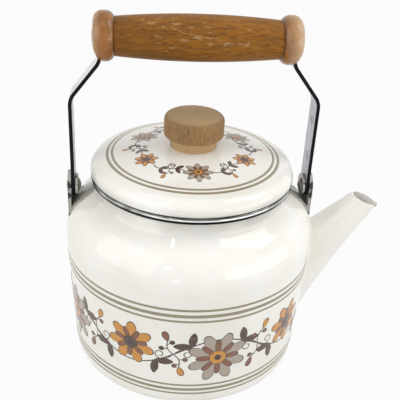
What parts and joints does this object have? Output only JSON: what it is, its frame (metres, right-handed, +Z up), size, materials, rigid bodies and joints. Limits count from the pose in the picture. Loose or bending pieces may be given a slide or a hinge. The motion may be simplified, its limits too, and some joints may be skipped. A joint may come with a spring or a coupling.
{
  "type": "tea kettle",
  "caption": "Enamelled steel tea kettle with a tapered spout, a swinging bail with a turned wooden grip, a steel-banded mouth and a lift-off lid with a wooden knob",
  "frame": {"origin": "centre of the flat bottom, on the axis of the body", "axes": "+Z up along the body axis, +X towards the spout, +Y across, with the bail swinging about X"},
  "size_m": [0.2091, 0.163, 0.2311],
  "materials": {
    "enamel": "glossy warm-white vitreous enamel with printed stripes and a floral band",
    "rim_steel": "polished stainless steel",
    "strap_steel": "grey plated steel, dark at the edges",
    "rivet_steel": "dull plated steel",
    "ear_enamel": "grey-white enamel, chipped to the dark ground coat",
    "grip_wood": "varnished honey-brown hardwood, scuffed",
    "bead_wood": "varnished pale hardwood, darker at the joint",
    "knob_wood": "bare tan hardwood"
  },
  "bodies": {
    "kettle": {"body_shell": "enamel", "spout": "enamel", "rim_band": "rim_steel", "front_ear": "ear_enamel", "rear_ear": "ear_enamel", "front_pivot_rivet": "rivet_steel", "rear_pivot_rivet": "rivet_steel", "front_pivot_washer": "rivet_steel", "rear_pivot_washer": "rivet_steel"},
    "bail": {"front_strap": "strap_steel", "rear_strap": "strap_steel", "grip": "grip_wood", "front_grip_bead": "bead_wood", "rear_grip_bead": "bead_wood", "tie_rod": "rivet_steel", "rod_nut": "rivet_steel"},
    "lid": {"lid_shell": "enamel", "lid_collar": "enamel", "knob": "knob_wood", "knob_screw": "rivet_steel", "knob_washer": "rivet_steel"}
  },
  "joints": [
    {"name": "bail_swing", "type": "hinge", "parent": "kettle", "child": "bail", "pos_m": [0, 0, 0.1203], "axis": [1, 0, 0], "range_deg": [-96, 96]},
    {"name": "lid_lift", "type": "slide", "parent": "kettle", "child": "lid", "axis": [0, 0, 1], "range_m": [0, 0.032]}
  ]
}
